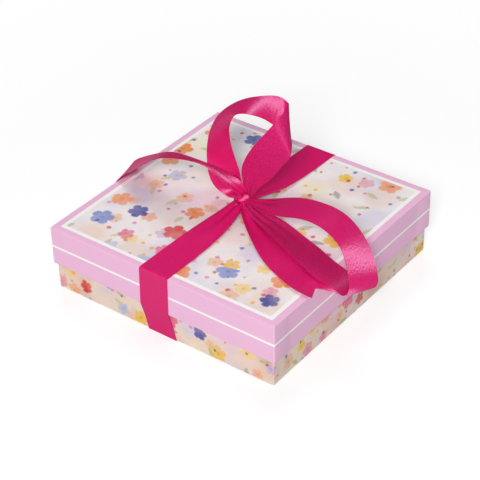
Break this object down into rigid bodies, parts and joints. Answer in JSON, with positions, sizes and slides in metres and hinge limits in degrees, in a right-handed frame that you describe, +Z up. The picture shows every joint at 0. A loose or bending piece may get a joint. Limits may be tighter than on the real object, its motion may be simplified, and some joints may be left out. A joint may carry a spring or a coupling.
{
  "type": "gift box",
  "caption": "Square flat gift box with a lift-off lid, covered in flower-print paper, tied round with satin ribbon in a bow, with a padded tray inside.",
  "frame": {"origin": "on the standing surface, under the middle of the box, at the lower face of the ribbon's run under the base", "axes": "+Z up, +X along the front edge to the right, +Y from the front to the back"},
  "size_m": [0.1793, 0.1506, 0.1023],
  "materials": {
    "greyboard": "matte",
    "base_print_paper": "satin",
    "lid_print_paper": "satin",
    "stay_tape": "matte",
    "lining_paper": "matte",
    "foam": "matte",
    "velour": "matte",
    "satin_ribbon": "satin"
  },
  "bodies": {
    "base": {"base_board_tray": "greyboard", "base_wrap_paper": "base_print_paper", "base_floor_lining": "lining_paper", "insert_foam_pad": "foam", "insert_velour_cover": "velour", "ribbon_under_run": "satin_ribbon", "ribbon_front_lower": "satin_ribbon", "ribbon_back_lower": "satin_ribbon", "base_corner_stay_front_left": "stay_tape", "base_corner_stay_front_right": "stay_tape", "base_corner_stay_back_left": "stay_tape", "base_corner_stay_back_right": "stay_tape"},
    "lid": {"lid_board_tray": "greyboard", "lid_wrap_paper": "lid_print_paper", "lid_corner_stay_front_left": "stay_tape", "lid_corner_stay_front_right": "stay_tape", "lid_corner_stay_back_left": "stay_tape", "lid_corner_stay_back_right": "stay_tape", "lid_ceiling_lining": "lining_paper", "ribbon_front_run": "satin_ribbon", "ribbon_back_run": "satin_ribbon", "bow_knot": "satin_ribbon", "bow_upper_loop": "satin_ribbon", "bow_right_loop": "satin_ribbon", "bow_left_tail": "satin_ribbon", "bow_front_tail": "satin_ribbon"}
  },
  "joints": [
    {"name": "lid_lift", "type": "slide", "parent": "base", "child": "lid", "axis": [0, 0, 1], "range_m": [0, 0.05], "deforming": ["ribbon_front_lower", "ribbon_back_lower"]}
  ]
}
